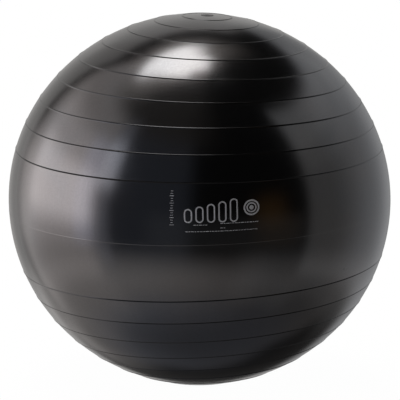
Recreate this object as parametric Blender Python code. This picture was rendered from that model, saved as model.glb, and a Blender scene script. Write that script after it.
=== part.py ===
"""An inflated ribbed exercise ball: a hollow skin, the valve seat set in its top, and the plug in the seat.

Metres, +Z up. The origin is the middle of the flat patch that the ball rests on, and the valve is at the top.
"""

import math

import bmesh
import bpy
from mathutils import Euler, Vector

# The inflated skin
BALL_WIDTH = 0.650            # across its widest level, at the feet of the ribs
BALL_HEIGHT = 0.632           # pole to pole, before the floor flattens it
PATCH_RADIUS = 0.037          # flat patch that it rests on
WALL = 0.0009

# The ribs, evenly spaced on the moulding between the plain band round its middle and its plain caps
RIBS_PER_HALF = 9
HALF_BAND_DEG = 18.0          # from the parting line to the first rib
CAP_DEG = 7.2                 # from the last rib to the pole
RIB_HEIGHT = 0.0006
RIB_WIDTH = 0.0024
BAND_DIP = 0.0001             # how much flatter the skin is midway between neighbouring ribs

# How unevenly the skin has stretched
SETTLE_DEG = 1.2              # the parting line lies this far below the widest level
LEAN_DEG = 3.8                # tilt of the parting line's plane: none at the valve, double at the bottom
LEVEL_ABOVE_PATCH_DEG = 32.0  # the floor brings the leaning ribs level over this stretch

# The valve seat, gripped by the edge of the skin's hole
SEAT_NECK_WALL = 0.0010       # between the plug's head and the edge of the hole
SEAT_RIM_OVERLAP = 0.0027     # of the skin, outside
SEAT_RIM_HEIGHT = 0.0005      # above the top of the skin
SEAT_FLANGE_OVERLAP = 0.0040  # of the skin, inside
SEAT_FLANGE_THICKNESS = 0.0014
SEAT_BARREL_WALL = 0.0024

# The plug
HEAD_RADIUS = 0.0062
HEAD_THICKNESS = 0.0018
HEAD_PROUD = 0.0002           # of the seat's rim
GATE_RADIUS = 0.0016          # shallow dimple in the middle of the head
GATE_DEPTH = 0.0003
STEM_RADIUS = 0.0042          # under the head
STEM_TAPER = 0.0006           # less radius at its end
STEM_LENGTH = 0.0175
STEM_BEYOND_SEAT = 0.0015
STEM_LAND = 0.0020            # plain length above and below the sealing rings
RING_COUNT = 3
RING_DEPTH = 0.0004
STEM_WALL = 0.0015            # round the core that opens at the stem's end
STEM_SOLID = 0.0040           # above the core

GAP = 0.0003                  # between pieces that touch
EDGE_RADIUS = 0.0004          # rounded edges of the seat and the plug
SMOOTH_EDGE_DEG = 40.0

# Fineness
SKIN_SEGMENTS = 40
SKIN_STEP_DEG = 4.1           # longest step along the skin's profile
VALVE_SEGMENTS = 32
ARC_STEPS = 3
RING_STEPS = 6

# What follows from the sizes above
HALF_WIDTH = BALL_WIDTH / 2
HALF_HEIGHT = BALL_HEIGHT / 2
CENTRE_HEIGHT = HALF_HEIGHT * math.sqrt(1 - (PATCH_RADIUS / HALF_WIDTH) ** 2)
SKIN_TOP = CENTRE_HEIGHT + HALF_HEIGHT
PATCH_LATITUDE = -math.acos(PATCH_RADIUS / HALF_WIDTH)
HOLE_RADIUS = HEAD_RADIUS + GAP + SEAT_NECK_WALL + GAP
SEAT_RIM_RADIUS = HOLE_RADIUS + SEAT_RIM_OVERLAP
SEAT_FLANGE_RADIUS = HOLE_RADIUS + SEAT_FLANGE_OVERLAP
RIM_TOP = SKIN_TOP + SEAT_RIM_HEIGHT
HEAD_TOP = RIM_TOP + HEAD_PROUD
HEAD_BOTTOM = HEAD_TOP - HEAD_THICKNESS
STEM_END = HEAD_BOTTOM - STEM_LENGTH
SEAT_BOTTOM = STEM_END + STEM_BEYOND_SEAT


# ---- Shared shapes

def clear_scene():
    for obj in list(bpy.data.objects):
        bpy.data.objects.remove(obj, do_unlink=True)


def make_material(name, colour, roughness, metallic=0.0, coat=0.0):
    material = bpy.data.materials.new(name)
    material.use_nodes = True
    shader = material.node_tree.nodes["Principled BSDF"]
    shader.inputs["Base Color"].default_value = (*colour, 1.0)
    shader.inputs["Roughness"].default_value = roughness
    shader.inputs["Metallic"].default_value = metallic
    shader.inputs["Coat Weight"].default_value = coat
    return material


def rounded(corners):
    """Points of an outline whose corners are (radius, height, fillet); a fillet of 0 keeps the corner sharp."""
    points = []
    for index, (radius, height, fillet) in enumerate(corners):
        corner = Vector((radius, height))
        if not fillet:
            points.append(corner)
            continue
        before = Vector(corners[index - 1][:2]) - corner
        after = Vector(corners[(index + 1) % len(corners)][:2]) - corner
        half_angle = before.angle(after) / 2
        reach = min(fillet / math.tan(half_angle), 0.45 * before.length, 0.45 * after.length)
        bisector = (before.normalized() + after.normalized()).normalized()
        arc_radius = reach * math.tan(half_angle)
        centre = corner + bisector * (reach / math.cos(half_angle))
        start = corner + before.normalized() * reach - centre
        end = corner + after.normalized() * reach - centre
        for step in range(ARC_STEPS + 1):
            spoke = start.lerp(end, step / ARC_STEPS).normalized()
            points.append(centre + spoke * arc_radius)
    return points


def turned(name, profile, segments, material, closed=False, reshape=None, origin=(0.0, 0.0, 0.0)):
    """One object: the profile of (radius, height) points spun about Z, with its origin moved to the joint."""
    mesh = bmesh.new()
    verts = [mesh.verts.new((radius, 0.0, height)) for radius, height in profile]
    pairs = list(zip(verts, verts[1:]))
    if closed:
        pairs.append((verts[-1], verts[0]))
    edges = [mesh.edges.new(pair) for pair in pairs]
    bmesh.ops.spin(
        mesh,
        geom=verts + edges,
        cent=(0.0, 0.0, 0.0),
        axis=(0.0, 0.0, 1.0),
        angle=2 * math.pi,
        steps=segments,
        use_merge=True,
    )
    bmesh.ops.remove_doubles(mesh, verts=mesh.verts, dist=1e-6)
    bmesh.ops.dissolve_degenerate(mesh, edges=mesh.edges, dist=1e-7)
    if reshape:
        for vert in mesh.verts:
            vert.co = reshape(vert.co)
    bmesh.ops.triangulate(mesh, faces=mesh.faces)
    bmesh.ops.recalc_face_normals(mesh, faces=mesh.faces)
    bmesh.ops.translate(mesh, verts=mesh.verts, vec=-Vector(origin))
    data = bpy.data.meshes.new(name)
    mesh.to_mesh(data)
    mesh.free()
    data.shade_smooth()
    data.set_sharp_from_angle(angle=math.radians(SMOOTH_EDGE_DEG))
    data.materials.append(material)
    obj = bpy.data.objects.new(name, data)
    obj.location = origin
    bpy.context.scene.collection.objects.link(obj)
    return obj


# ---- The skin

def skin_height(radius):
    """Height of the upper outer skin at this distance from the axis."""
    return CENTRE_HEIGHT + HALF_HEIGHT * math.sqrt(1 - (radius / HALF_WIDTH) ** 2)


def skin_point(latitude, proud):
    """(radius, height) on the inflated outline at this latitude, standing proud of it along its normal."""
    normal = Vector((math.cos(latitude) / HALF_WIDTH, math.sin(latitude) / HALF_HEIGHT)).normalized()
    point = Vector((HALF_WIDTH * math.cos(latitude), CENTRE_HEIGHT + HALF_HEIGHT * math.sin(latitude)))
    return point + normal * proud


def settled(moulded):
    """Latitude on the inflated ball of a moulded latitude."""
    return moulded - math.radians(SETTLE_DEG) * math.cos(moulded)


def rib_latitudes():
    """Latitudes of the ribs on the inflated ball, top to bottom. The floor presses the lowest one flat."""
    pitch = (90 - CAP_DEG - HALF_BAND_DEG) / (RIBS_PER_HALF - 1)
    upper = [math.radians(HALF_BAND_DEG + pitch * rib) for rib in range(RIBS_PER_HALF)]
    moulded = upper[::-1] + [-latitude for latitude in upper[:-1]]
    return [settled(latitude) for latitude in moulded]


def band(start, end):
    """(latitude, dip) strictly between two ribs: even steps, dipping as a parabola; the middle band is even."""
    steps = math.ceil(abs(end - start) / math.radians(SKIN_STEP_DEG))
    shares = [step / steps for step in range(1, steps)]
    dip = BAND_DIP if abs(end - start) < math.radians(HALF_BAND_DEG) else 0.0
    return [(start + (end - start) * share, dip * 4 * share * (1 - share)) for share in shares]


def skin_profile():
    """The skin's section: up the outside from the middle of the patch to the hole, and down the inside."""
    land_radius = SEAT_FLANGE_RADIUS + 2 * WALL
    hole = math.acos(HOLE_RADIUS / HALF_WIDTH)
    land = math.acos(land_radius / HALF_WIDTH)
    ribs = rib_latitudes()
    half_rib = RIB_WIDTH / BALL_WIDTH
    outside = [(HOLE_RADIUS, skin_height(HOLE_RADIUS))]
    inside = [(HOLE_RADIUS, skin_height(HOLE_RADIUS) - WALL)]
    stops = [land] + ribs + [PATCH_LATITUDE]
    for start, end in zip([hole] + stops, stops):
        for latitude, dip in band(start, end):
            outside.append(skin_point(latitude, -dip))
            inside.append(skin_point(latitude, -dip - WALL))
        if end in ribs:
            outside.append(skin_point(end + half_rib, 0.0))
            outside.append(skin_point(end, RIB_HEIGHT))
            outside.append(skin_point(end - half_rib, 0.0))
        elif end == land:
            outside.append(skin_point(end, 0.0))
        if end != PATCH_LATITUDE:
            inside.append(skin_point(end, -WALL))
    outside += [(PATCH_RADIUS, 0.0), (0.0, 0.0)]
    inside += [(PATCH_RADIUS, WALL), (0.0, WALL)]
    return outside[::-1] + inside


def leaned(point):
    """Tilts each level of the skin about Y by its lean, along the ball's own surface."""
    scale = Vector((HALF_WIDTH, HALF_WIDTH, HALF_HEIGHT))
    centred = point - Vector((0.0, 0.0, CENTRE_HEIGHT))
    unit = Vector(centred[axis] / scale[axis] for axis in range(3))
    latitude = math.asin(max(-1.0, min(1.0, unit.z / unit.length)))
    above_patch = (latitude - PATCH_LATITUDE) / math.radians(LEVEL_ABOVE_PATCH_DEG)
    share = max(0.0, min(1.0, above_patch))
    ease = share * share * (3 - 2 * share)
    lean = math.radians(LEAN_DEG) * (1 - math.sin(latitude)) * ease
    unit.rotate(Euler((0.0, -lean, 0.0)))
    return Vector(unit[axis] * scale[axis] for axis in range(3)) + Vector((0.0, 0.0, CENTRE_HEIGHT))


def build_skin():
    vinyl = make_material("charcoal_vinyl", (0.030, 0.029, 0.031), 0.38, metallic=0.35, coat=0.25)
    return turned("ball_shell", skin_profile(), SKIN_SEGMENTS, vinyl, reshape=leaned)


# ---- The valve

def stem_radius(depth):
    """Radius of the stem's tapered envelope at this depth below the head."""
    return STEM_RADIUS - STEM_TAPER * depth / STEM_LENGTH


def build_seat():
    recess_radius = HEAD_RADIUS + GAP
    recess_floor = HEAD_BOTTOM - GAP
    neck_radius = HOLE_RADIUS - GAP
    bore_top = stem_radius(HEAD_BOTTOM - recess_floor) + GAP
    bore_end = stem_radius(HEAD_BOTTOM - SEAT_BOTTOM) + GAP
    barrel_radius = bore_top + SEAT_BARREL_WALL
    grip_top = skin_height(HOLE_RADIUS) + GAP
    grip_bottom = skin_height(HOLE_RADIUS) - WALL - GAP
    flange_top = skin_height(SEAT_FLANGE_RADIUS) - WALL - GAP
    flange_bottom = flange_top - SEAT_FLANGE_THICKNESS
    corners = [
        (recess_radius, RIM_TOP, EDGE_RADIUS / 2),
        (SEAT_RIM_RADIUS, RIM_TOP, EDGE_RADIUS),
        (SEAT_RIM_RADIUS, skin_height(SEAT_RIM_RADIUS) + GAP, 0),
        (neck_radius, grip_top, 0),
        (neck_radius, grip_bottom, 0),
        (SEAT_FLANGE_RADIUS, flange_top, 0),
        (SEAT_FLANGE_RADIUS, flange_bottom, EDGE_RADIUS),
        (barrel_radius, flange_bottom - EDGE_RADIUS, EDGE_RADIUS),
        (barrel_radius, SEAT_BOTTOM, EDGE_RADIUS),
        (bore_end, SEAT_BOTTOM, EDGE_RADIUS / 2),
        (bore_top, recess_floor, EDGE_RADIUS / 2),
        (recess_radius, recess_floor, 0),
    ]
    vinyl = make_material("valve_vinyl", (0.022, 0.022, 0.024), 0.50)
    return turned("valve_seat", rounded(corners), VALVE_SEGMENTS, vinyl, closed=True)


def stem_points():
    """The stem's side from the head down: sealing rings that reach the envelope, with hollows between them."""
    ring_length = STEM_LENGTH - 2 * STEM_LAND
    steps = RING_COUNT * RING_STEPS
    points = [(stem_radius(0.0) - RING_DEPTH, HEAD_BOTTOM)]
    for step in range(steps + 1):
        depth = STEM_LAND + ring_length * step / steps
        hollow = RING_DEPTH * (1 + math.cos(2 * math.pi * step / RING_STEPS)) / 2
        points.append((stem_radius(depth) - hollow, HEAD_BOTTOM - depth))
    return points


def build_plug():
    head = rounded([
        (0.0, HEAD_TOP - GATE_DEPTH, 0),
        (GATE_RADIUS, HEAD_TOP - GATE_DEPTH, 0),
        (GATE_RADIUS + GATE_DEPTH, HEAD_TOP, 0),
        (HEAD_RADIUS, HEAD_TOP, EDGE_RADIUS),
        (HEAD_RADIUS, HEAD_BOTTOM, EDGE_RADIUS / 2),
        (stem_radius(0.0) - RING_DEPTH, HEAD_BOTTOM, 0),
    ])[:-1]
    end_radius = stem_radius(STEM_LENGTH) - RING_DEPTH
    core_radius = end_radius - STEM_WALL
    core_top = HEAD_BOTTOM - STEM_SOLID
    end = rounded([
        (end_radius, STEM_END + STEM_LAND, 0),
        (end_radius, STEM_END, EDGE_RADIUS),
        (core_radius, STEM_END, EDGE_RADIUS / 2),
        (core_radius, core_top, 0),
        (0.0, core_top, 0),
    ])[1:]
    vinyl = make_material("plug_vinyl", (0.040, 0.040, 0.042), 0.45)
    profile = [*head, *stem_points(), *end]
    return turned("valve_plug", profile, VALVE_SEGMENTS, vinyl, origin=(0.0, 0.0, HEAD_BOTTOM))


def main():
    clear_scene()
    ball = bpy.data.objects.new("exercise_ball", None)
    bpy.context.scene.collection.objects.link(ball)
    shell = build_skin()
    seat = build_seat()
    plug = build_plug()
    shell.parent = ball
    seat.parent = ball
    plug.parent = ball


main()
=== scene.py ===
import math

import bpy
import numpy as np
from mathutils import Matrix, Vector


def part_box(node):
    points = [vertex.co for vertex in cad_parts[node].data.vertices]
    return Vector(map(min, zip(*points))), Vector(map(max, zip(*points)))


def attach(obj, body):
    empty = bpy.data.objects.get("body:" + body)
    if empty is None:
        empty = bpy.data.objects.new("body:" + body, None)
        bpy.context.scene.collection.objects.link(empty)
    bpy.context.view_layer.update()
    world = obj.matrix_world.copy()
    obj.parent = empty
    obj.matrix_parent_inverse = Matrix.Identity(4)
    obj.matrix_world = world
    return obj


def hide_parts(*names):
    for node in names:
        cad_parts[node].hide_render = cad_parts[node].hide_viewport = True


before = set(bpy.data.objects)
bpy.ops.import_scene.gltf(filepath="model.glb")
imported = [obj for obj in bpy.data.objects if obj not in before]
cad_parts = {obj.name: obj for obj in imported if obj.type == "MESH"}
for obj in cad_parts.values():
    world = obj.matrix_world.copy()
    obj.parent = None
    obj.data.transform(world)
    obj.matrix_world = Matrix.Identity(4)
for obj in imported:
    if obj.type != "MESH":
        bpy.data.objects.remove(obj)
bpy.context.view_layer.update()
print("frame loaded:", sorted(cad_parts))


# ---- Plain helpers

def cadPoints(node):
    # all of a CAD node's vertices as rows of x, y, z
    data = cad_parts[node].data
    flat = np.zeros(len(data.vertices) * 3)
    data.vertices.foreach_get("co", flat)
    return flat.reshape(-1, 3)


def smooth(value, start, end):
    # 0 before start and 1 after end, eased between them: share squared times (3 minus 2 shares)
    share = np.clip((value - start) / (end - start), 0.0, 1.0)
    return share * share * (3 - 2 * share)


def gridFaces(rows, columns, wrapRows):
    # quads between neighbouring rows and columns; the columns always close on themselves
    index = np.arange(rows * columns).reshape(rows, columns)
    here = index if wrapRows else index[:-1]
    there = np.roll(index, -1, axis=0) if wrapRows else index[1:]
    quads = np.stack([here, np.roll(here, -1, axis=1), np.roll(there, -1, axis=1), there], axis=-1)
    return index, quads.reshape(-1, 4)


def closedSurface(grid, wrapRows=False, start=None, end=None):
    # Points and faces of a grid of rows x columns x 3. Without wrapRows its two ends close in fans to the
    # points start and end. Six times the volume is the sum of a . (b x c) over its triangles, and where
    # that is negative every face is turned round, so the faces always point outwards.
    rows, columns = grid.shape[:2]
    index, quads = gridFaces(rows, columns, wrapRows)
    points = grid.reshape(-1, 3)
    fans = np.zeros((0, 3), int)
    if not wrapRows:
        points = np.vstack([points, [start, end]])
        first, last = index[0], index[-1]
        startFan = np.stack([np.roll(first, -1), first, np.full(columns, len(points) - 2)], axis=-1)
        endFan = np.stack([last, np.roll(last, -1), np.full(columns, len(points) - 1)], axis=-1)
        fans = np.vstack([startFan, endFan])
    triangles = np.vstack([quads[:, [0, 1, 2]], quads[:, [0, 2, 3]], fans])
    a, b, c = (points[triangles[:, corner]] for corner in range(3))
    if np.einsum("ij,ij->i", a, np.cross(b, c)).sum() < 0:
        quads, fans = quads[:, ::-1], fans[:, ::-1]
    return points, quads.tolist() + fans.tolist()


def makePiece(name, surfaces, material, body, replaced=(), sharpDeg=40.0):
    # one object out of closed surfaces, at the origin, riding on its CAD body
    points, faces = [], []
    for surfacePoints, surfaceFaces in surfaces:
        offset = sum(len(block) for block in points)
        points.append(surfacePoints)
        faces += [[corner + offset for corner in face] for face in surfaceFaces]
    data = bpy.data.meshes.new(name)
    data.from_pydata(np.vstack(points), [], faces)
    data.shade_smooth()
    data.set_sharp_from_angle(angle=math.radians(sharpDeg))
    data.materials.append(material)
    piece = bpy.data.objects.new(name, data)
    bpy.context.scene.collection.objects.link(piece)
    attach(piece, body)
    if replaced:
        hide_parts(*replaced)
    print(f"{name}: {len(data.vertices)} points, {len(data.polygons)} faces")
    return piece


def addAttribute(piece, name, values):
    attribute = piece.data.attributes.new(name, "FLOAT_VECTOR" if values.ndim == 2 else "FLOAT", "POINT")
    attribute.data.foreach_set("vector" if values.ndim == 2 else "value", values.astype(np.float32).ravel())


# ---- Shader expressions

class Wire:
    # A node's output. Arithmetic on it adds Math nodes.
    def __init__(self, graph, socket):
        self.graph = graph
        self.socket = socket

    def math(self, operation, *values, clamp=False):
        return self.graph.node("ShaderNodeMath", {"operation": operation, "use_clamp": clamp}, values)

    def __add__(self, other):
        return self.math("ADD", self, other)

    def __sub__(self, other):
        return self.math("SUBTRACT", self, other)

    def __rsub__(self, other):
        return self.math("SUBTRACT", other, self)

    def __mul__(self, other):
        return self.math("MULTIPLY", self, other)

    __radd__ = __add__
    __rmul__ = __mul__

    def size(self):
        return self.math("ABSOLUTE", self)

    def steps(self, start, end):
        # eased from 0 at start to 1 at end
        return self.graph.node(
            "ShaderNodeMapRange",
            {"interpolation_type": "SMOOTHSTEP"},
            {"Value": self, "From Min": start, "From Max": end},
        )


class Graph:
    # A node tree to which nodes are added, with their sockets set or linked at once.
    def __init__(self, tree):
        self.tree = tree
        tree.nodes.clear()

    def node(self, kind, settings=None, inputs=(), output=0):
        made = self.tree.nodes.new(kind)
        for name, value in (settings or {}).items():
            setattr(made, name, value)
        pairs = inputs.items() if isinstance(inputs, dict) else enumerate(inputs)
        for name, value in pairs:
            if isinstance(value, Wire):
                self.tree.links.new(value.socket, made.inputs[name])
            elif value is not None:
                made.inputs[name].default_value = value
        return Wire(self, made.outputs[output]) if made.outputs else made

    def mix(self, share, first, second):
        # colours or wires: first where share is 0, second where it is 1
        colours = [value if isinstance(value, Wire) else (*value, 1.0) for value in (first, second)]
        inputs = {0: share, 6: colours[0], 7: colours[1]}
        return self.node("ShaderNodeMix", {"data_type": "RGBA"}, inputs, output=2)

    def vector(self, operation, *values, output=0):
        return self.node("ShaderNodeVectorMath", {"operation": operation}, values, output)

    def noise(self, place, scale, detail=2.0, rough=0.5):
        inputs = {"Vector": place, "Scale": scale, "Detail": detail, "Roughness": rough}
        return self.node("ShaderNodeTexNoise", {"noise_dimensions": "3D"}, inputs)

    def bump(self, strength, height):
        # height in metres
        inputs = {"Strength": strength, "Distance": 1.0, "Height": height}
        return self.node("ShaderNodeBump", {}, inputs)


def newMaterial(name):
    material = bpy.data.materials.new(name)
    material.use_nodes = True
    return material, Graph(material.node_tree)


# ---- The ball's shape, read from the frame

def readBall():
    # The patch and the hole are the skin's own edges. The two half sizes follow from the box: the middle
    # stands at halfHeight sqrt(1 - (patch / halfWidth)^2), and the hole's edge the same way above it.
    skin = cadPoints("ball_shell")
    radius = np.hypot(skin[:, 0], skin[:, 1])
    low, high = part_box("ball_shell")
    patch = radius[skin[:, 2] < 1e-5].max()
    hole = radius[skin[:, 2] > 0.9 * high.z].min()
    halfWidth = (high.x - low.x) / 2
    rise = math.sqrt(1 - (patch / halfWidth) ** 2) + math.sqrt(1 - (hole / halfWidth) ** 2)
    halfHeight = high.z / rise
    middle = halfHeight * math.sqrt(1 - (patch / halfWidth) ** 2)
    return {
        "halfWidth": halfWidth, "halfHeight": halfHeight, "middle": middle,
        "patch": patch, "hole": hole,
    }


skinShape = {
    "wall": 0.0009,
    "ribsPerHalf": 9,
    "halfBandDeg": 18.0,       # from the parting line to the first rib
    "capDeg": 7.2,             # from the last rib to the pole
    "ribHeight": 0.0006,
    "ribWidth": 0.0024,
    "partingHeight": 0.0001,
    "partingWidth": 0.0016,
    "flashDeg": -15.0,         # where the mould's two halves left a little more flash
    "flashSpreadDeg": 7.0,
    "flashExtra": 2.6,         # times the parting line's height
    "landOfHole": 1.7,         # plain land round the valve, in radii of the hole
    "dip": 0.0001,             # the skin is this much flatter midway between neighbouring ribs
    "settleDeg": 1.2,          # of the parting line below the widest level
    "leanDeg": 3.8,
    "levelAbovePatchDeg": 32.0,
    "floorEase": 0.0008,       # height over which the skin bends into its flat patch
    "waves": 0.00011,          # slow unevenness of the stretched skin
    "wavesFrom": (0.10, 0.30), # they grow over these cosines of the latitude, away from the poles
    "columns": 240,
    "ribRows": 7,
    "stepDeg": 1.12,           # longest step between rows away from the ribs
    "innerRows": 22,
    "footInRibs": 2.2,         # reach of the dust beside a rib, in half ribs
    "paintedShadeInRibs": (0.55, 1.3), # the painted shade along the rib fades out between these
}
ball = readBall()


def settled(moulded):
    # latitude on the inflated ball: the moulded one less settle times its cosine
    return moulded - math.radians(skinShape["settleDeg"]) * np.cos(moulded)


def ribLatitudes():
    # even steps on the moulding from the plain band to the plain cap, in both halves, top to bottom; the
    # floor presses the lowest one flat
    shape = skinShape
    upper = np.linspace(shape["halfBandDeg"], 90 - shape["capDeg"], shape["ribsPerHalf"])
    return np.radians(np.concatenate([upper[::-1], -upper[:-1]]))


def skinProud(longitude, moulded):
    # How far the skin stands out of the plain spheroid: ribs and parting line as squared cosines across
    # their width, less a parabola 4 s (1 - s) between neighbouring ribs, and slow waves that are sums of
    # sines. The parting line is higher about flashDeg, by a bell curve.
    shape = skinShape
    latitude = settled(moulded)
    proud = np.zeros(np.broadcast(longitude, moulded).shape)
    halfRib = shape["ribWidth"] / 2 / ball["halfWidth"]
    for rib in settled(ribLatitudes()):
        across = np.clip((latitude - rib) / halfRib, -1, 1)
        proud = proud + shape["ribHeight"] * np.cos(across * math.pi / 2) ** 2
    fromFlash = (np.degrees(longitude) - shape["flashDeg"]) / shape["flashSpreadDeg"]
    flash = 1 + shape["flashExtra"] * np.exp(-fromFlash ** 2)
    halfParting = shape["partingWidth"] / 2 / ball["halfWidth"]
    across = np.clip((latitude - settled(0.0)) / halfParting, -1, 1)
    proud = proud + shape["partingHeight"] * flash * np.cos(across * math.pi / 2) ** 2
    land = math.acos(shape["landOfHole"] * ball["hole"] / ball["halfWidth"])
    patch = -math.acos(ball["patch"] / ball["halfWidth"])
    stops = np.concatenate([[land], settled(ribLatitudes()), [patch]])
    for upper, lower in zip(stops, stops[1:]):
        if upper - lower < math.radians(shape["halfBandDeg"]):
            share = np.clip((latitude - lower) / (upper - lower), 0, 1)
            proud = proud - shape["dip"] * 4 * share * (1 - share)
    away = smooth(np.cos(latitude), *shape["wavesFrom"])
    waves = np.sin(2 * longitude + 3.1 * moulded + 0.7) + 0.7 * np.sin(3 * longitude - 4.3 * moulded + 2.1)
    waves = waves + 0.5 * np.sin(5 * longitude + 7.7 * moulded) + 0.4 * np.sin(9 * moulded + longitude)
    return proud + shape["waves"] * away * waves


def onBall(longitude, moulded, proud=0.0, floor=0.0):
    # Longitude 0 faces -Y and grows towards +X. The section is (halfWidth cos, middle + halfHeight sin)
    # of the settled latitude, offset along its normal by proud. Then every level leans about Y by
    # lean (1 - sin latitude), eased away near the patch, and what would reach below the floor bends
    # into it along the parabola (z + k)^2 / 4k.
    latitude = settled(moulded)
    wide, tall = ball["halfWidth"], ball["halfHeight"]
    normalOut, normalUp = np.cos(latitude) / wide, np.sin(latitude) / tall
    length = np.hypot(normalOut, normalUp)
    radius = wide * np.cos(latitude) + proud * normalOut / length
    height = tall * np.sin(latitude) + proud * normalUp / length
    x, y, z = radius * np.sin(longitude) / wide, -radius * np.cos(longitude) / wide, height / tall
    z = z + 0 * x
    level = np.arcsin(np.clip(z / np.sqrt(x * x + y * y + z * z), -1, 1))
    patchLatitude = -math.acos(ball["patch"] / wide)
    eased = smooth(level, patchLatitude, patchLatitude + math.radians(skinShape["levelAbovePatchDeg"]))
    lean = math.radians(skinShape["leanDeg"]) * (1 - np.sin(level)) * eased
    x, z = x * np.cos(lean) - z * np.sin(lean), x * np.sin(lean) + z * np.cos(lean)
    z = ball["middle"] + z * tall - floor
    ease = skinShape["floorEase"]
    bent = np.clip(z + ease, 0, None) ** 2 / (4 * ease)
    z = np.where(z < ease, bent, z) + floor
    return np.stack([x * wide, y * wide, z], axis=-1)


def skinRows():
    # Moulded latitudes from the bottom pole to the hole: close rows over every rib and over the parting
    # line, and even steps between them.
    shape = skinShape
    halfRib = shape["ribWidth"] / 2 / ball["halfWidth"]
    halfParting = shape["partingWidth"] / 2 / ball["halfWidth"]
    across = np.concatenate([[-1.35], np.linspace(-1, 1, shape["ribRows"]), [1.35]])
    crests = [(rib, halfRib) for rib in ribLatitudes()] + [(0.0, halfParting)]
    clusters = sorted((crest + across * half for crest, half in crests), key=lambda rows: rows[0])
    top = math.acos(ball["hole"] / ball["halfWidth"])
    for _ in range(3):
        top = math.acos(ball["hole"] / ball["halfWidth"]) + math.radians(shape["settleDeg"]) * math.cos(top)
    ends = [np.array([-math.pi / 2])] + clusters + [np.array([top])]
    rows = []
    for lower, upper in zip(ends, ends[1:]):
        steps = math.ceil((upper[0] - lower[-1]) / math.radians(shape["stepDeg"]))
        rows += [lower, np.linspace(lower[-1], upper[0], steps + 1)[1:-1]]
    return np.concatenate(rows + [ends[-1]])[1:]


def buildSkin(material):
    shape = skinShape
    longitude = np.linspace(-math.pi, math.pi, shape["columns"], endpoint=False)[None, :]
    outerRows = skinRows()[:, None]
    outer = onBall(longitude, outerRows, skinProud(longitude, outerRows))
    innerRows = np.linspace(outerRows[-1, 0], -math.pi / 2, shape["innerRows"] + 1)[:-1, None]
    inner = onBall(longitude, innerRows, -shape["wall"], floor=shape["wall"])
    bottom = (0.0, 0.0, 0.0)
    insideBottom = (0.0, 0.0, shape["wall"])
    surface = closedSurface(np.vstack([outer, inner]), start=bottom, end=insideBottom)
    piece = makePiece("ball_skin", [surface], material, "ball", ["ball_shell"])
    rows = np.concatenate([outerRows[:, 0], innerRows[:, 0]])
    latitude = np.concatenate([np.repeat(rows, shape["columns"]), [-math.pi / 2] * 2])
    around = np.concatenate([np.tile(longitude[0], len(rows)), [0.0] * 2])
    # the moulding's own frame: a unit circle of longitude, with latitude as the height
    mouldPlace = np.stack([np.sin(around), -np.cos(around), latitude], axis=-1)
    halfRib = shape["ribWidth"] / 2 / ball["halfWidth"]
    fromRib = np.abs(latitude[:, None] - ribLatitudes()[None, :]).min(axis=1)
    nearest = np.minimum(fromRib, np.abs(latitude))
    addAttribute(piece, "mouldPlace", mouldPlace)
    footWidth = shape["footInRibs"] * halfRib
    shadeFrom, shadeTo = (share * halfRib for share in shape["paintedShadeInRibs"])
    addAttribute(piece, "ribFoot", np.exp(-(nearest / footWidth) ** 2))
    # painted shade: 1 on each rib's dark line, fading off beside it
    addAttribute(piece, "ribPaintedShade", 1 - smooth(fromRib, shadeFrom, shadeTo))
    return piece


# ---- The valve: turned profiles

valveShape = {
    "segments": 144,
    "arcSteps": 6,
    "edge": 0.0004,            # rounded edges
    "gap": 0.0003,
    "rimHeight": 0.0005,
    "flangeThickness": 0.0014,
    "barrelWall": 0.0024,
    "rimSlope": 0.0022,        # width of the rim's slope down to its lip
    "rimLip": 0.00015,
    "headThickness": 0.0018,
    "gateRadius": 0.0016,
    "gateDepth": 0.0003,
    "headDish": 0.00006,       # hollow of the head's face
    "stemRadius": 0.0042,
    "stemTaper": 0.0006,
    "stemLand": 0.0020,
    "rings": 3,
    "ringDepth": 0.0004,
    "ringSteps": 14,
    "stemWall": 0.0015,
    "stemSolid": 0.0040,
}


def roundedProfile(corners):
    # Points of an outline of (radius, height, fillet) corners. A fillet is an arc that touches both sides
    # at fillet / tan(half the corner's angle), or at 0.45 of the shorter side where that is less.
    points = []
    for index, (radius, height, fillet) in enumerate(corners):
        corner = np.array([radius, height])
        before = np.array(corners[index - 1][:2]) - corner
        after = np.array(corners[(index + 1) % len(corners)][:2]) - corner
        if not fillet:
            points.append(corner[None, :])
            continue
        toBefore, toAfter = before / np.hypot(*before), after / np.hypot(*after)
        half = math.acos(float(np.clip(toBefore @ toAfter, -1, 1))) / 2
        reach = min(fillet / math.tan(half), 0.45 * np.hypot(*before), 0.45 * np.hypot(*after))
        middle = toBefore + toAfter
        centre = corner + middle / np.hypot(*middle) * reach / math.cos(half)
        share = np.linspace(0, 1, valveShape["arcSteps"] + 1)[:, None]
        spokes = corner + toBefore * reach * (1 - share) + toAfter * reach * share - centre
        arcRadius = reach * math.tan(half)
        points.append(centre + spokes / np.hypot(spokes[:, :1], spokes[:, 1:]) * arcRadius)
    return np.vstack(points)


def turnedGrid(profile):
    # (radius, height) carried round Z: x = radius sin, y = -radius cos
    angle = np.linspace(-math.pi, math.pi, valveShape["segments"], endpoint=False)[None, :]
    radius, height = profile[:, :1], profile[:, 1:]
    return np.stack([radius * np.sin(angle), -radius * np.cos(angle), height + 0 * angle], axis=-1)


def skinTop(radius):
    return ball["middle"] + ball["halfHeight"] * math.sqrt(1 - (radius / ball["halfWidth"]) ** 2)


def stemRadius(depth, length):
    return valveShape["stemRadius"] - valveShape["stemTaper"] * depth / length


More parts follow.
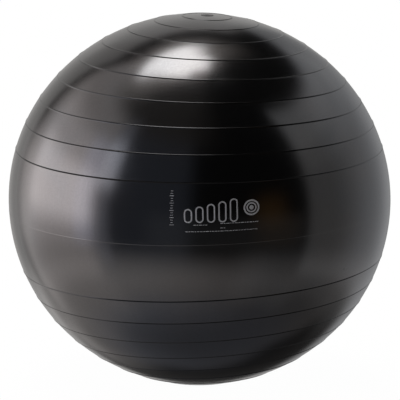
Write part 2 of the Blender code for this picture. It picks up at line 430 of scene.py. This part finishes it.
def readValve():
    shape = valveShape
    seatLow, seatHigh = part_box("valve_seat")
    plugLow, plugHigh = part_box("valve_plug")
    seat = cadPoints("valve_seat")
    rim = np.hypot(seat[:, 0], seat[:, 1])[seat[:, 2] > seatHigh.z - shape["rimHeight"] / 2].max()
    headBottom = plugHigh.z - shape["headThickness"]
    return {
        "rimTop": seatHigh.z, "seatBottom": seatLow.z, "flange": seatHigh.x, "rim": rim,
        "head": plugHigh.x, "headTop": plugHigh.z, "headBottom": headBottom, "stemEnd": plugLow.z,
        "stemLength": headBottom - plugLow.z,
    }


valve = readValve()


def buildSeat(material):
    shape, edge, gap = valveShape, valveShape["edge"], valveShape["gap"]
    recess = valve["head"] + gap
    recessFloor = valve["headBottom"] - gap
    neck = ball["hole"] - gap
    boreTop = stemRadius(gap, valve["stemLength"]) + gap
    boreEnd = stemRadius(valve["headBottom"] - valve["seatBottom"], valve["stemLength"]) + gap
    barrel = boreTop + shape["barrelWall"]
    flangeTop = skinTop(valve["flange"]) - skinShape["wall"] - gap
    flangeBottom = flangeTop - shape["flangeThickness"]
    rimFoot = skinTop(valve["rim"]) + gap
    corners = [
        (recess, valve["rimTop"], edge / 2),
        (valve["rim"] - shape["rimSlope"], valve["rimTop"], edge),
        (valve["rim"], rimFoot + shape["rimLip"], shape["rimLip"] / 2),
        (valve["rim"], rimFoot, 0),
        (neck, skinTop(ball["hole"]) + gap, 0),
        (neck, skinTop(ball["hole"]) - skinShape["wall"] - gap, 0),
        (valve["flange"], flangeTop, 0),
        (valve["flange"], flangeBottom, edge),
        (barrel, flangeBottom - edge, edge),
        (barrel, valve["seatBottom"], edge),
        (boreEnd, valve["seatBottom"], edge / 2),
        (boreTop, recessFloor, edge / 2),
        (recess, recessFloor, 0),
    ]
    surface = closedSurface(turnedGrid(roundedProfile(corners)), wrapRows=True)
    return makePiece("valve_seat_moulding", [surface], material, "ball", ["valve_seat"])


def buildPlug(material):
    # The head's face dips as a parabola between the gate's dimple and the rim. Down the stem the radius is
    # the tapered envelope less ringDepth (1 + cos) / 2, so that each ring's crest touches the envelope.
    shape, edge = valveShape, valveShape["edge"]
    top, bottom, length = valve["headTop"], valve["headBottom"], valve["stemLength"]
    gateEdge = shape["gateRadius"] + shape["gateDepth"]
    rimEdge = valve["head"] - 1.6 * edge
    share = np.linspace(0, 1, 9)
    face = np.stack([
        gateEdge + (rimEdge - gateEdge) * share,
        top - shape["headDish"] * 4 * share * (1 - share),
    ], axis=-1)
    gate = roundedProfile([
        (0.0, top - shape["gateDepth"], 0),
        (shape["gateRadius"], top - shape["gateDepth"], edge / 4),
        (gateEdge, top, 0),
    ])
    rim = roundedProfile([
        (rimEdge, top, 0),
        (valve["head"], top, edge),
        (valve["head"], bottom, edge / 2),
        (stemRadius(0.0, length) - shape["ringDepth"], bottom, 0),
    ])
    along = np.linspace(0, 1, shape["rings"] * shape["ringSteps"] + 1)
    depth = shape["stemLand"] + (length - 2 * shape["stemLand"]) * along
    hollow = shape["ringDepth"] * (1 + np.cos(2 * math.pi * shape["rings"] * along)) / 2
    stem = np.stack([stemRadius(depth, length) - hollow, bottom - depth], axis=-1)
    endRadius = stemRadius(length, length) - shape["ringDepth"]
    coreTop = bottom - shape["stemSolid"]
    core = endRadius - shape["stemWall"]
    end = roundedProfile([
        (endRadius, valve["stemEnd"] + shape["stemLand"], 0),
        (endRadius, valve["stemEnd"], edge),
        (core, valve["stemEnd"], edge / 2),
        (core, coreTop, 0),
        (0.0, coreTop, 0),
    ])
    profile = np.vstack([gate[1:], face[1:-1], rim, stem, end[1:-1]])
    surface = closedSurface(
        turnedGrid(profile),
        start=(0.0, 0.0, top - shape["gateDepth"]),
        end=(0.0, 0.0, coreTop),
    )
    return makePiece("valve_plug_moulding", [surface], material, "plug", ["valve_plug"])


# ---- The print: plain marks in silver ink, as raised ribbons that follow the skin

printShape = {
    "inkHeight": 0.00009,
    "inkSunk": 0.00004,        # below the skin's surface, so that no light gets under it
    "pathStep": 0.002,
    "longitudeDeg": 3.9,       # middle of the row of bars
    "latitudeDeg": 6.7,        # feet of the bars
    "bars": 5,
    "barWidth": 0.0131,
    "barGap": 0.0052,
    "barShortest": 0.0210,
    "barTallest": 0.0366,
    "barStroke": 0.0022,
    "roundelDeg": (15.65, 10.45),
    "roundelRings": ((0.0118, 0.0027), (0.0073, 0.0023)),     # radius and stroke
    "roundelDot": 0.0037,
    "dotSteps": 48,
    "ringSteps": 72,
    "rules": (                 # start and end longitude, latitude, all in degrees, and stroke
        (-1.4, 2.8, 5.9, 0.0010),
        (6.3, 17.5, 6.2, 0.0011),
        (6.2, 8.8, 4.9, 0.0009),
        (-3.7, 17.4, 4.0, 0.0010),
    ),
    "dashes": (0.0042, 0.0026, 0.0055, 0.0018, 0.0034),       # lengths of a rule's dashes, over and over
    "dashGap": 0.0012,
    "ticks": 15,
    "tickLongitudeDeg": -7.3,
    "tickLatitudesDeg": (6.0, 15.7),
    "tickLengths": (0.0069, 0.0040),    # of every third tick, and of the others
    "tickStroke": 0.0008,
}


def printPoint(across, up, proud):
    # the print's own plane, in metres from the bars' middle foot, wrapped on the moulding
    moulded = math.radians(printShape["latitudeDeg"]) + up / ball["halfWidth"]
    longitude = math.radians(printShape["longitudeDeg"]) + across / ball["halfWidth"] / np.cos(moulded)
    return onBall(longitude, moulded, skinProud(longitude, moulded) + proud)


def planePlace(longitudeDeg, latitudeDeg):
    # where a longitude and latitude lie in the print's plane
    up = math.radians(latitudeDeg - printShape["latitudeDeg"]) * ball["halfWidth"]
    turn = math.radians(longitudeDeg - printShape["longitudeDeg"])
    return turn * ball["halfWidth"] * math.cos(math.radians(latitudeDeg)), up


def inkRibbon(path, stroke, closed):
    # A low crowned section carried along a path in the print's plane, square to its direction.
    along = np.roll(path, -1, axis=0) - np.roll(path, 1, axis=0)
    if not closed:
        along = np.gradient(path, axis=0)
    side = np.stack([-along[:, 1], along[:, 0]], axis=-1) / np.hypot(along[:, 0], along[:, 1])[:, None]
    low, high = -printShape["inkSunk"], printShape["inkHeight"]
    shoulder = 0.6 * high
    foot = [(-0.5, low), (0.5, low)]
    crown = [(0.48, shoulder), (0.3, high), (-0.3, high), (-0.48, shoulder)]
    section = np.array(foot + crown)
    offset = section[None, :, 0] * stroke
    across = path[:, :1] + side[:, :1] * offset
    up = path[:, 1:] + side[:, 1:] * offset
    grid = printPoint(across, up, section[None, :, 1] + 0 * across)
    if closed:
        return closedSurface(grid, wrapRows=True)
    return closedSurface(grid, start=grid[0].mean(axis=0), end=grid[-1].mean(axis=0))


def inkDot(centre, radius):
    # a disc with a low crowned edge
    angle = np.linspace(0, 2 * math.pi, printShape["dotSteps"], endpoint=False)[None, :]
    low, high = -printShape["inkSunk"], printShape["inkHeight"]
    rings = np.array([(1.0, low), (0.98, 0.6 * high), (0.9, high)])
    across = centre[0] + rings[:, :1] * radius * np.cos(angle)
    up = centre[1] + rings[:, :1] * radius * np.sin(angle)
    grid = printPoint(across, up, rings[:, 1:] + 0 * across)
    ends = [printPoint(np.array(centre[0]), np.array(centre[1]), rings[end, 1]) for end in (0, -1)]
    return closedSurface(grid, start=ends[0], end=ends[1])


def capsulePath(middle, width, height, steps=20):
    # an upright capsule on the plane's base line: two half circles joined by straight sides
    radius = width / 2
    turn = np.linspace(0, math.pi, steps)
    top = np.stack([middle + radius * np.cos(turn), height - radius + radius * np.sin(turn)], axis=-1)
    foot = np.stack([middle - radius * np.cos(turn), radius - radius * np.sin(turn)], axis=-1)
    down = straightPath(top[-1], foot[0])[1:-1]
    up = straightPath(foot[-1], top[0])[1:-1]
    return np.vstack([top, down, foot, up])


def straightPath(start, end):
    # evenly spaced points, no further apart than pathStep
    steps = 2 + math.ceil(math.dist(start, end) / printShape["pathStep"])
    share = np.linspace(0, 1, steps)[:, None]
    return np.array(start) * (1 - share) + np.array(end) * share


def dashedPaths(start, end):
    # straight dashes from start towards end, for as long as they fit
    lengths = np.tile(printShape["dashes"], 20)
    begins = np.cumsum(lengths + printShape["dashGap"]) - lengths
    total = math.dist(start, end)
    fits = begins + lengths < total
    line = straightPath(start, end)
    ahead = (line[-1] - line[0]) / total
    return [
        straightPath(line[0] + ahead * begin, line[0] + ahead * (begin + length))
        for begin, length in zip(begins[fits], lengths[fits])
    ]


def buildPrint(material):
    shape = printShape
    pitch = shape["barWidth"] + shape["barGap"]
    bars = []
    for bar, height in enumerate(np.linspace(shape["barShortest"], shape["barTallest"], shape["bars"])):
        middle = (bar - (shape["bars"] - 1) / 2) * pitch
        outline = capsulePath(middle, shape["barWidth"] - shape["barStroke"], height)
        bars.append(inkRibbon(outline, shape["barStroke"], closed=True))
    makePiece("print_bars", bars, material, "ball")

    centre = planePlace(*shape["roundelDeg"])
    turn = np.linspace(0, 2 * math.pi, shape["ringSteps"], endpoint=False)
    circle = np.stack([np.cos(turn), np.sin(turn)], axis=-1)
    roundel = [inkDot(centre, shape["roundelDot"])]
    for radius, stroke in shape["roundelRings"]:
        roundel.append(inkRibbon(np.array(centre) + circle * radius, stroke, closed=True))
    makePiece("print_roundel", roundel, material, "ball")

    rules = []
    for startDeg, endDeg, latitudeDeg, stroke in shape["rules"]:
        for path in dashedPaths(planePlace(startDeg, latitudeDeg), planePlace(endDeg, latitudeDeg)):
            rules.append(inkRibbon(path, stroke, closed=False))
    makePiece("print_rules", rules, material, "ball")

    ticks = []
    for tick, latitudeDeg in enumerate(np.linspace(*shape["tickLatitudesDeg"], shape["ticks"])):
        length = shape["tickLengths"][0 if tick % 3 == 0 else 1]
        across, up = planePlace(shape["tickLongitudeDeg"], latitudeDeg)
        path = straightPath((across - length / 2, up), (across + length / 2, up))
        ticks.append(inkRibbon(path, shape["tickStroke"], closed=False))
    makePiece("print_ticks", ticks, material, "ball")


# ---- Materials

skinFinish = {
    "colour": (0.0918, 0.0918, 0.0945),      # charcoal pearl
    "warmer": (0.0955, 0.0922, 0.0925),
    "dust": (0.106, 0.104, 0.102),
    "ribs": (0.020, 0.020, 0.021),           # painted shade: the dark line along each rib; the pip takes this colour too
    "metal": 0.985,
    "roughness": 0.16,
    "pip": (48.5, -14.0),                    # a dark pip in the moulding: longitude and latitude in degrees
    "pipRadii": (0.0025, 0.0050),            # its dark middle and its edge, in radians
    "streakScale": (60.0, 60.0, 3.0),        # long and fine from pole to pole
    "scuffScale": (14.0, 90.0, 40.0),
    "broadScale": 7.0,
    "cloudScale": 26.0,
    "mottleScale": 500.0,
    "grainScale": 700.0,
    "flakeScale": 2600.0,
    "dustShare": 0.35,
    "shade": (0.75, 0.08, 0.10, 0.32),       # least, and what streaks, flakes and mottle add
    "heights": (0.000008, 0.000010, 0.00003),    # of grain, mottle and streaks, in metres
    "bumpStrength": 0.6,
}


def skinMaterial():
    finish = skinFinish
    material, graph = newMaterial("charcoal pearl vinyl")
    place = graph.node("ShaderNodeTexCoord", output="Object")
    mould = graph.node("ShaderNodeAttribute", {"attribute_name": "mouldPlace"}, output="Vector")
    ribFoot = graph.node("ShaderNodeAttribute", {"attribute_name": "ribFoot"}, output="Fac")
    ribPaintedShade = graph.node("ShaderNodeAttribute", {"attribute_name": "ribPaintedShade"}, output="Fac")
    # the skin stretches most from pole to pole, so its streaks run that way
    streaks = graph.noise(graph.vector("MULTIPLY", mould, finish["streakScale"]), 1.0, 3.0, 0.6)
    broad = graph.noise(place, finish["broadScale"], 2.0)
    cloud = graph.noise(place, finish["cloudScale"], 4.0, 0.6)
    flakes = graph.noise(place, finish["flakeScale"], 1.0)
    grain = graph.noise(place, finish["grainScale"], 3.0, 0.6)
    mottle = graph.noise(place, finish["mottleScale"], 2.0)
    scuff = graph.noise(graph.vector("MULTIPLY", place, finish["scuffScale"]), 1.0, 5.0, 0.7)
    scuffed = scuff.steps(0.66, 0.80)
    dust = ribFoot * cloud.steps(0.35, 0.75)
    colour = graph.mix(broad.steps(0.35, 0.65), finish["colour"], finish["warmer"])
    colour = graph.mix(dust * finish["dustShare"], colour, finish["dust"])
    # painted shade: each rib darkened along its line
    colour = graph.mix(ribPaintedShade, colour, finish["ribs"])
    around, latitude = (math.radians(angle) for angle in finish["pip"])
    pipPlace = (math.sin(around), -math.cos(around), latitude)
    fromPip = graph.vector("DISTANCE", mould, pipPlace, output="Value")
    colour = graph.mix(1 - fromPip.steps(*finish["pipRadii"]), colour, finish["ribs"])
    least, byStreaks, byFlakes, byMottle = finish["shade"]
    shade = least + byStreaks * streaks + byFlakes * flakes.steps(0.35, 0.75) + byMottle * mottle
    colour = graph.vector("SCALE", colour, None, None, shade)
    rough = finish["roughness"] - 0.025 + 0.05 * cloud + 0.05 * dust + 0.04 * scuffed + 0.02 * streaks
    ofGrain, ofMottle, ofStreaks = finish["heights"]
    height = grain * ofGrain + mottle * ofMottle + streaks * ofStreaks
    bump = graph.bump(finish["bumpStrength"], height)
    shader = graph.node("ShaderNodeBsdfPrincipled", {}, {
        "Base Color": colour,
        "Metallic": finish["metal"],
        "Roughness": rough,
        "Normal": bump,
    })
    graph.node("ShaderNodeOutputMaterial", {}, {"Surface": shader})
    return material


valveFinishes = {
    "valve vinyl": {"colour": (0.060, 0.059, 0.061), "roughness": 0.34, "grainScale": 1500.0},
    "plug vinyl": {"colour": (0.075, 0.074, 0.076), "roughness": 0.38, "grainScale": 2100.0},
}


def valveMaterial(name):
    # soft moulded vinyl: cloudy between the colour and a darker one, with a fine grain
    finish = valveFinishes[name]
    material, graph = newMaterial(name)
    place = graph.node("ShaderNodeTexCoord", output="Object")
    cloud = graph.noise(place, 220.0, 3.0, 0.6)
    grain = graph.noise(place, finish["grainScale"], 2.0)
    darker = tuple(0.8 * part for part in finish["colour"])
    shade = graph.mix(cloud.steps(0.3, 0.7), darker, finish["colour"])
    shader = graph.node("ShaderNodeBsdfPrincipled", {}, {
        "Base Color": shade,
        "Roughness": finish["roughness"] - 0.05 + 0.1 * cloud,
        "Normal": graph.bump(0.5, grain * 0.00003),
    })
    graph.node("ShaderNodeOutputMaterial", {}, {"Surface": shader})
    return material


inkFinish = {
    "colour": (0.68, 0.68, 0.69),
    "worn": (0.36, 0.36, 0.37),
    "metal": 0.2,
    "roughness": 0.42,
    "wearScale": 420.0,
    "grainScale": 1800.0,
}


def inkMaterial():
    # silver ink, a little worn in small spots
    finish = inkFinish
    material, graph = newMaterial("silver ink")
    place = graph.node("ShaderNodeTexCoord", output="Object")
    wear = graph.noise(place, finish["wearScale"], 4.0, 0.7)
    grain = graph.noise(place, finish["grainScale"], 2.0)
    colour = graph.mix(wear.steps(0.55, 0.75), finish["colour"], finish["worn"])
    shader = graph.node("ShaderNodeBsdfPrincipled", {}, {
        "Base Color": colour,
        "Metallic": finish["metal"],
        "Roughness": finish["roughness"] + 0.12 * wear,
        "Normal": graph.bump(0.5, grain * 0.00002),
    })
    graph.node("ShaderNodeOutputMaterial", {}, {"Surface": shader})
    return material


# ---- The studio: soft panels all round in the world's light, and a pale floor

# Each panel: from and to in azimuth, from and to in elevation, soft edges of both, and how much its top
# edge rises per degree of azimuth, all in degrees, then its strength and tint. Azimuth 0 is the camera's
# side and grows towards +X.
panels = {
    "overhead softbox": ((-176, -112), (60, 70), (22, 5), 0, 7.4, (1.00, 0.995, 0.99)),
    "softbox's far part": ((-187, -108), (70, 82), (16, 5), 0, 8.0, (1.00, 0.995, 0.99)),
    "softbox's glow": ((-192, -92), (56, 94), (50, 16), 0, 1.0, (1.08, 1.00, 0.93)),
    "ceiling's glow": ((-110, 0), (44, 96), (50, 16), 0, 0.07, (1.10, 1.00, 0.92)),
    "left window": ((-121, -67), (-10, 16), (14, 12), 0, 1.95, (1.03, 0.98, 0.99)),
    "left window's blind": ((-126, -67), (-20, 32), (16, 16), 0, 0.95, (1.03, 0.98, 0.99)),
    "left window's side": ((-143, -124), (-22, 8), (12, 14), 0, 0.50, (1.03, 0.99, 0.98)),
    "left wall": ((-135, -66), (-36, 52), (12, 14), -0.15, 0.86, (1.04, 0.98, 0.96)),
    "left wall's blue edge": ((-80, -66), (-20, 32), (6, 10), 0, 0.40, (0.40, 0.60, 1.20)),
    "left strip": ((-66.5, -54), (11, 35), (6, 14), 0, 1.80, (0.92, 0.95, 1.05)),
    "left strip's foot": ((-65.5, -55), (-30, 48), (6, 14), 0, 0.44, (0.90, 0.94, 1.08)),
    "left wall's foot": ((-162, -128), (-42, -24), (14, 10), 0, 0.24, (1.03, 1.00, 0.97)),
    "left floor": ((-135, -60), (-62, -38), (24, 14), 0, 0.15, (1.04, 1.00, 0.97)),
    "backdrop": ((-188, -141), (-30, 42), (6, 8), 0, 0.49, (1.02, 1.00, 0.98)),
    "backdrop's top": ((-188, -158), (12, 42), (8, 8), 0, 0.12, (1.02, 1.00, 0.98)),
    "right wall": ((69, 172), (-32, 44), (5, 8), -0.25, 0.27, (1.00, 1.00, 1.00)),
    "right wall's top": ((71, 158), (20, 45), (6, 8), -0.25, 0.11, (0.99, 1.00, 1.01)),
    "right wall's brow": ((71, 142), (31, 47), (6, 8), -0.25, 0.15, (0.99, 1.00, 1.01)),
    "right wall's far end": ((104, 163), (-28, 42), (36, 8), -0.25, 0.28, (0.96, 0.99, 1.06)),
    "right floor": ((28, 142), (-40, -22), (24, 12), 0, 0.17, (1.00, 1.00, 1.00)),
    "right floor's front": ((25, 75), (-52, -38), (20, 12), 0, 0.10, (1.00, 1.00, 1.00)),
    "front left": ((-55, -6), (-30, 45), (14, 16), 0, 0.10, (0.84, 0.93, 1.16)),
    "front foot": ((-30, 66), (-20, 0), (14, 10), 0, 0.05, (1.00, 1.00, 1.00)),
    "amber lamp": ((34, 52), (-4, 12), (14, 14), 0, 0.065, (1.5, 0.78, 0.2)),
    "amber lamp's foot": ((36, 62), (-16, 0), (14, 14), 0, 0.025, (1.5, 0.85, 0.3)),
}
studio = {
    "tipDeg": 1.55,             # how far the whole studio tips back about X
    "ambient": 0.012,
    "floorLow": 0.17,           # floor's brightness straight below
    # what is added towards its rim: all round, to the right and to the front
    "floorSpread": (0.40, -0.64, 0.20),
    "floorEdgeDeg": (-19, -43),
    "floorWarm": (1.04, 0.99, 0.97),
    "floorCool": (0.94, 0.97, 1.10),
    # the ball's own shade on the floor, placed as a panel, and its share
    "floorShade": ((124, 197), (-62, -22), (22, 14), 0, 0.84),
    "backdropWhite": 1.0,
    "floorGlow": 0.985,
    "floorMatt": (0.02, 0.02, 0.02, 1),
    "floorSize": 60.0,
    "floorDrop": 0.0004,        # below the ball's patch
}


def panelMask(graph, direction, azimuths, elevations, soft, rise):
    # 1 on the panel and 0 off it. Azimuth from the panel's middle is atan2(direction . wide,
    # direction . out) and elevation is asin(z); each edge eases over its soft degrees.
    degree = math.pi / 180
    middle = (azimuths[0] + azimuths[1]) / 2 * degree
    half = (azimuths[1] - azimuths[0]) / 2
    out, wide, up = (
        graph.vector("DOT_PRODUCT", direction, axis, output="Value")
        for axis in (
            (math.sin(middle), -math.cos(middle), 0.0),
            (math.cos(middle), math.sin(middle), 0.0),
            (0.0, 0.0, 1.0),
        )
    )
    across = wide.math("ARCTAN2", wide, out)
    elevation = up.math("ARCSINE", up)
    low, high = elevations
    aside, above = soft[0] / 2, soft[1] / 2
    mask = 1 - across.size().steps((half - aside) * degree, (half + aside) * degree)
    mask = mask * elevation.steps((low - above) * degree, (low + above) * degree)
    return mask * (1 - (elevation - rise * across).steps((high - above) * degree, (high + above) * degree))


def buildWorld():
    # The light from a direction is the sum of the panels, the floor under the horizon and a faint ambient.
    # The floor's brightness is floorLow + all round (1 - z^2) + (right x - front y) times the root of that.
    world = bpy.data.worlds.new("studio")
    bpy.context.scene.world = world
    world.use_nodes = True
    graph = Graph(world.node_tree)
    outward = graph.node("ShaderNodeTexCoord", output="Generated")
    tip = {"Vector": outward, "Angle": math.radians(studio["tipDeg"])}
    direction = graph.node("ShaderNodeVectorRotate", {"rotation_type": "X_AXIS"}, tip)
    x, y, z = (
        graph.vector("DOT_PRODUCT", direction, axis, output="Value")
        for axis in ((1.0, 0.0, 0.0), (0.0, 1.0, 0.0), (0.0, 0.0, 1.0))
    )
    light = graph.vector("SCALE", (1.0, 1.0, 1.0), None, None, studio["ambient"])
    for *placing, strength, tint in panels.values():
        mask = panelMask(graph, direction, *placing)
        part = graph.vector("SCALE", tuple(strength * share for share in tint), None, None, mask)
        light = graph.vector("ADD", light, part)
    allRound, toRight, toFront = studio["floorSpread"]
    spread = allRound * (1 - z * z) + (toRight * x - toFront * y) * (1 - z * z).math("SQRT", 1 - z * z)
    brightness = studio["floorLow"] + spread.math("MAXIMUM", spread, 0.0)
    edgeStart, edgeEnd = (math.sin(math.radians(angle)) for angle in studio["floorEdgeDeg"])
    *placing, share = studio["floorShade"]
    shade = 1 - share * panelMask(graph, direction, *placing)
    ground = (1 - z.steps(edgeEnd, edgeStart)) * brightness * shade
    tint = graph.mix(z.steps(-0.95, -0.70), studio["floorCool"], studio["floorWarm"])
    light = graph.vector("ADD", light, graph.vector("SCALE", tint, None, None, ground))
    seen = graph.node("ShaderNodeLightPath", output="Is Camera Ray")
    shown = graph.mix(seen, light, (studio["backdropWhite"],) * 3)
    background = graph.node("ShaderNodeBackground", {}, {"Color": shown, "Strength": 1.0})
    graph.node("ShaderNodeOutputWorld", {}, {"Surface": background})


def buildFloor():
    # It glows almost white and takes a little of the light, so that the ball leaves a faint soft shadow.
    # From below it isn't there, and mirrored rays pass it to the studio's own floor tone.
    material, graph = newMaterial("pale floor")
    glow = graph.node("ShaderNodeEmission", {}, {"Color": (1, 1, 1, 1), "Strength": studio["floorGlow"]})
    matt = graph.node("ShaderNodeBsdfDiffuse", {}, {"Color": studio["floorMatt"]})
    lit = graph.node("ShaderNodeAddShader", {}, [glow, matt])
    behind = graph.node("ShaderNodeNewGeometry", output="Backfacing")
    clear = graph.node("ShaderNodeBsdfTransparent")
    shown = graph.node("ShaderNodeMixShader", {}, [behind, lit, clear])
    graph.node("ShaderNodeOutputMaterial", {}, {"Surface": shown})
    half = studio["floorSize"] / 2
    data = bpy.data.meshes.new("floor")
    corners = [(-half, -half, 0), (half, -half, 0), (half, half, 0), (-half, half, 0)]
    data.from_pydata(corners, [], [(0, 1, 2, 3)])
    data.materials.append(material)
    floor = bpy.data.objects.new("floor", data)
    floor.location.z = -studio["floorDrop"]
    floor.visible_glossy = False
    floor.visible_diffuse = False
    bpy.context.scene.collection.objects.link(floor)


cameraSetup = {
    "distance": 15.0,           # in half widths, from the ball's middle
    "elevationDeg": 12.08,
    "turnDeg": 2.40,            # the camera's own tilt about its line of sight
    "lens": 257.29,
    "sensor": 36.0,
    "clipEnd": 200.0,
    "aside": (0.00079, -0.00226),     # the view's middle, right of and above the ball's, in metres
}


def buildCamera():
    setup = cameraSetup
    elevation, turn = math.radians(setup["elevationDeg"]), math.radians(setup["turnDeg"])
    ahead = np.array([0.0, math.cos(elevation), -math.sin(elevation)])
    level = np.array([1.0, 0.0, 0.0])
    rise = np.array([0.0, math.sin(elevation), math.cos(elevation)])
    right = math.cos(turn) * level + math.sin(turn) * rise
    up = math.cos(turn) * rise - math.sin(turn) * level
    middle = np.array([0.0, 0.0, ball["middle"]])
    place = middle - ahead * setup["distance"] * ball["halfWidth"]
    place = place + right * setup["aside"][0] + up * setup["aside"][1]
    matrix = np.eye(4)
    matrix[:3, 0], matrix[:3, 1], matrix[:3, 2], matrix[:3, 3] = right, up, -ahead, place
    data = bpy.data.cameras.new("camera")
    data.sensor_width = setup["sensor"]
    data.lens = setup["lens"]
    data.clip_end = setup["clipEnd"]
    camera = bpy.data.objects.new("camera", data)
    camera.matrix_world = matrix.T.tolist()
    bpy.context.scene.collection.objects.link(camera)
    bpy.context.scene.camera = camera


buildCamera()
buildWorld()
buildFloor()
print("studio ready")
buildSkin(skinMaterial())
buildSeat(valveMaterial("valve vinyl"))
buildPlug(valveMaterial("plug vinyl"))
buildPrint(inkMaterial())
bpy.context.scene.view_settings.view_transform = "Standard"
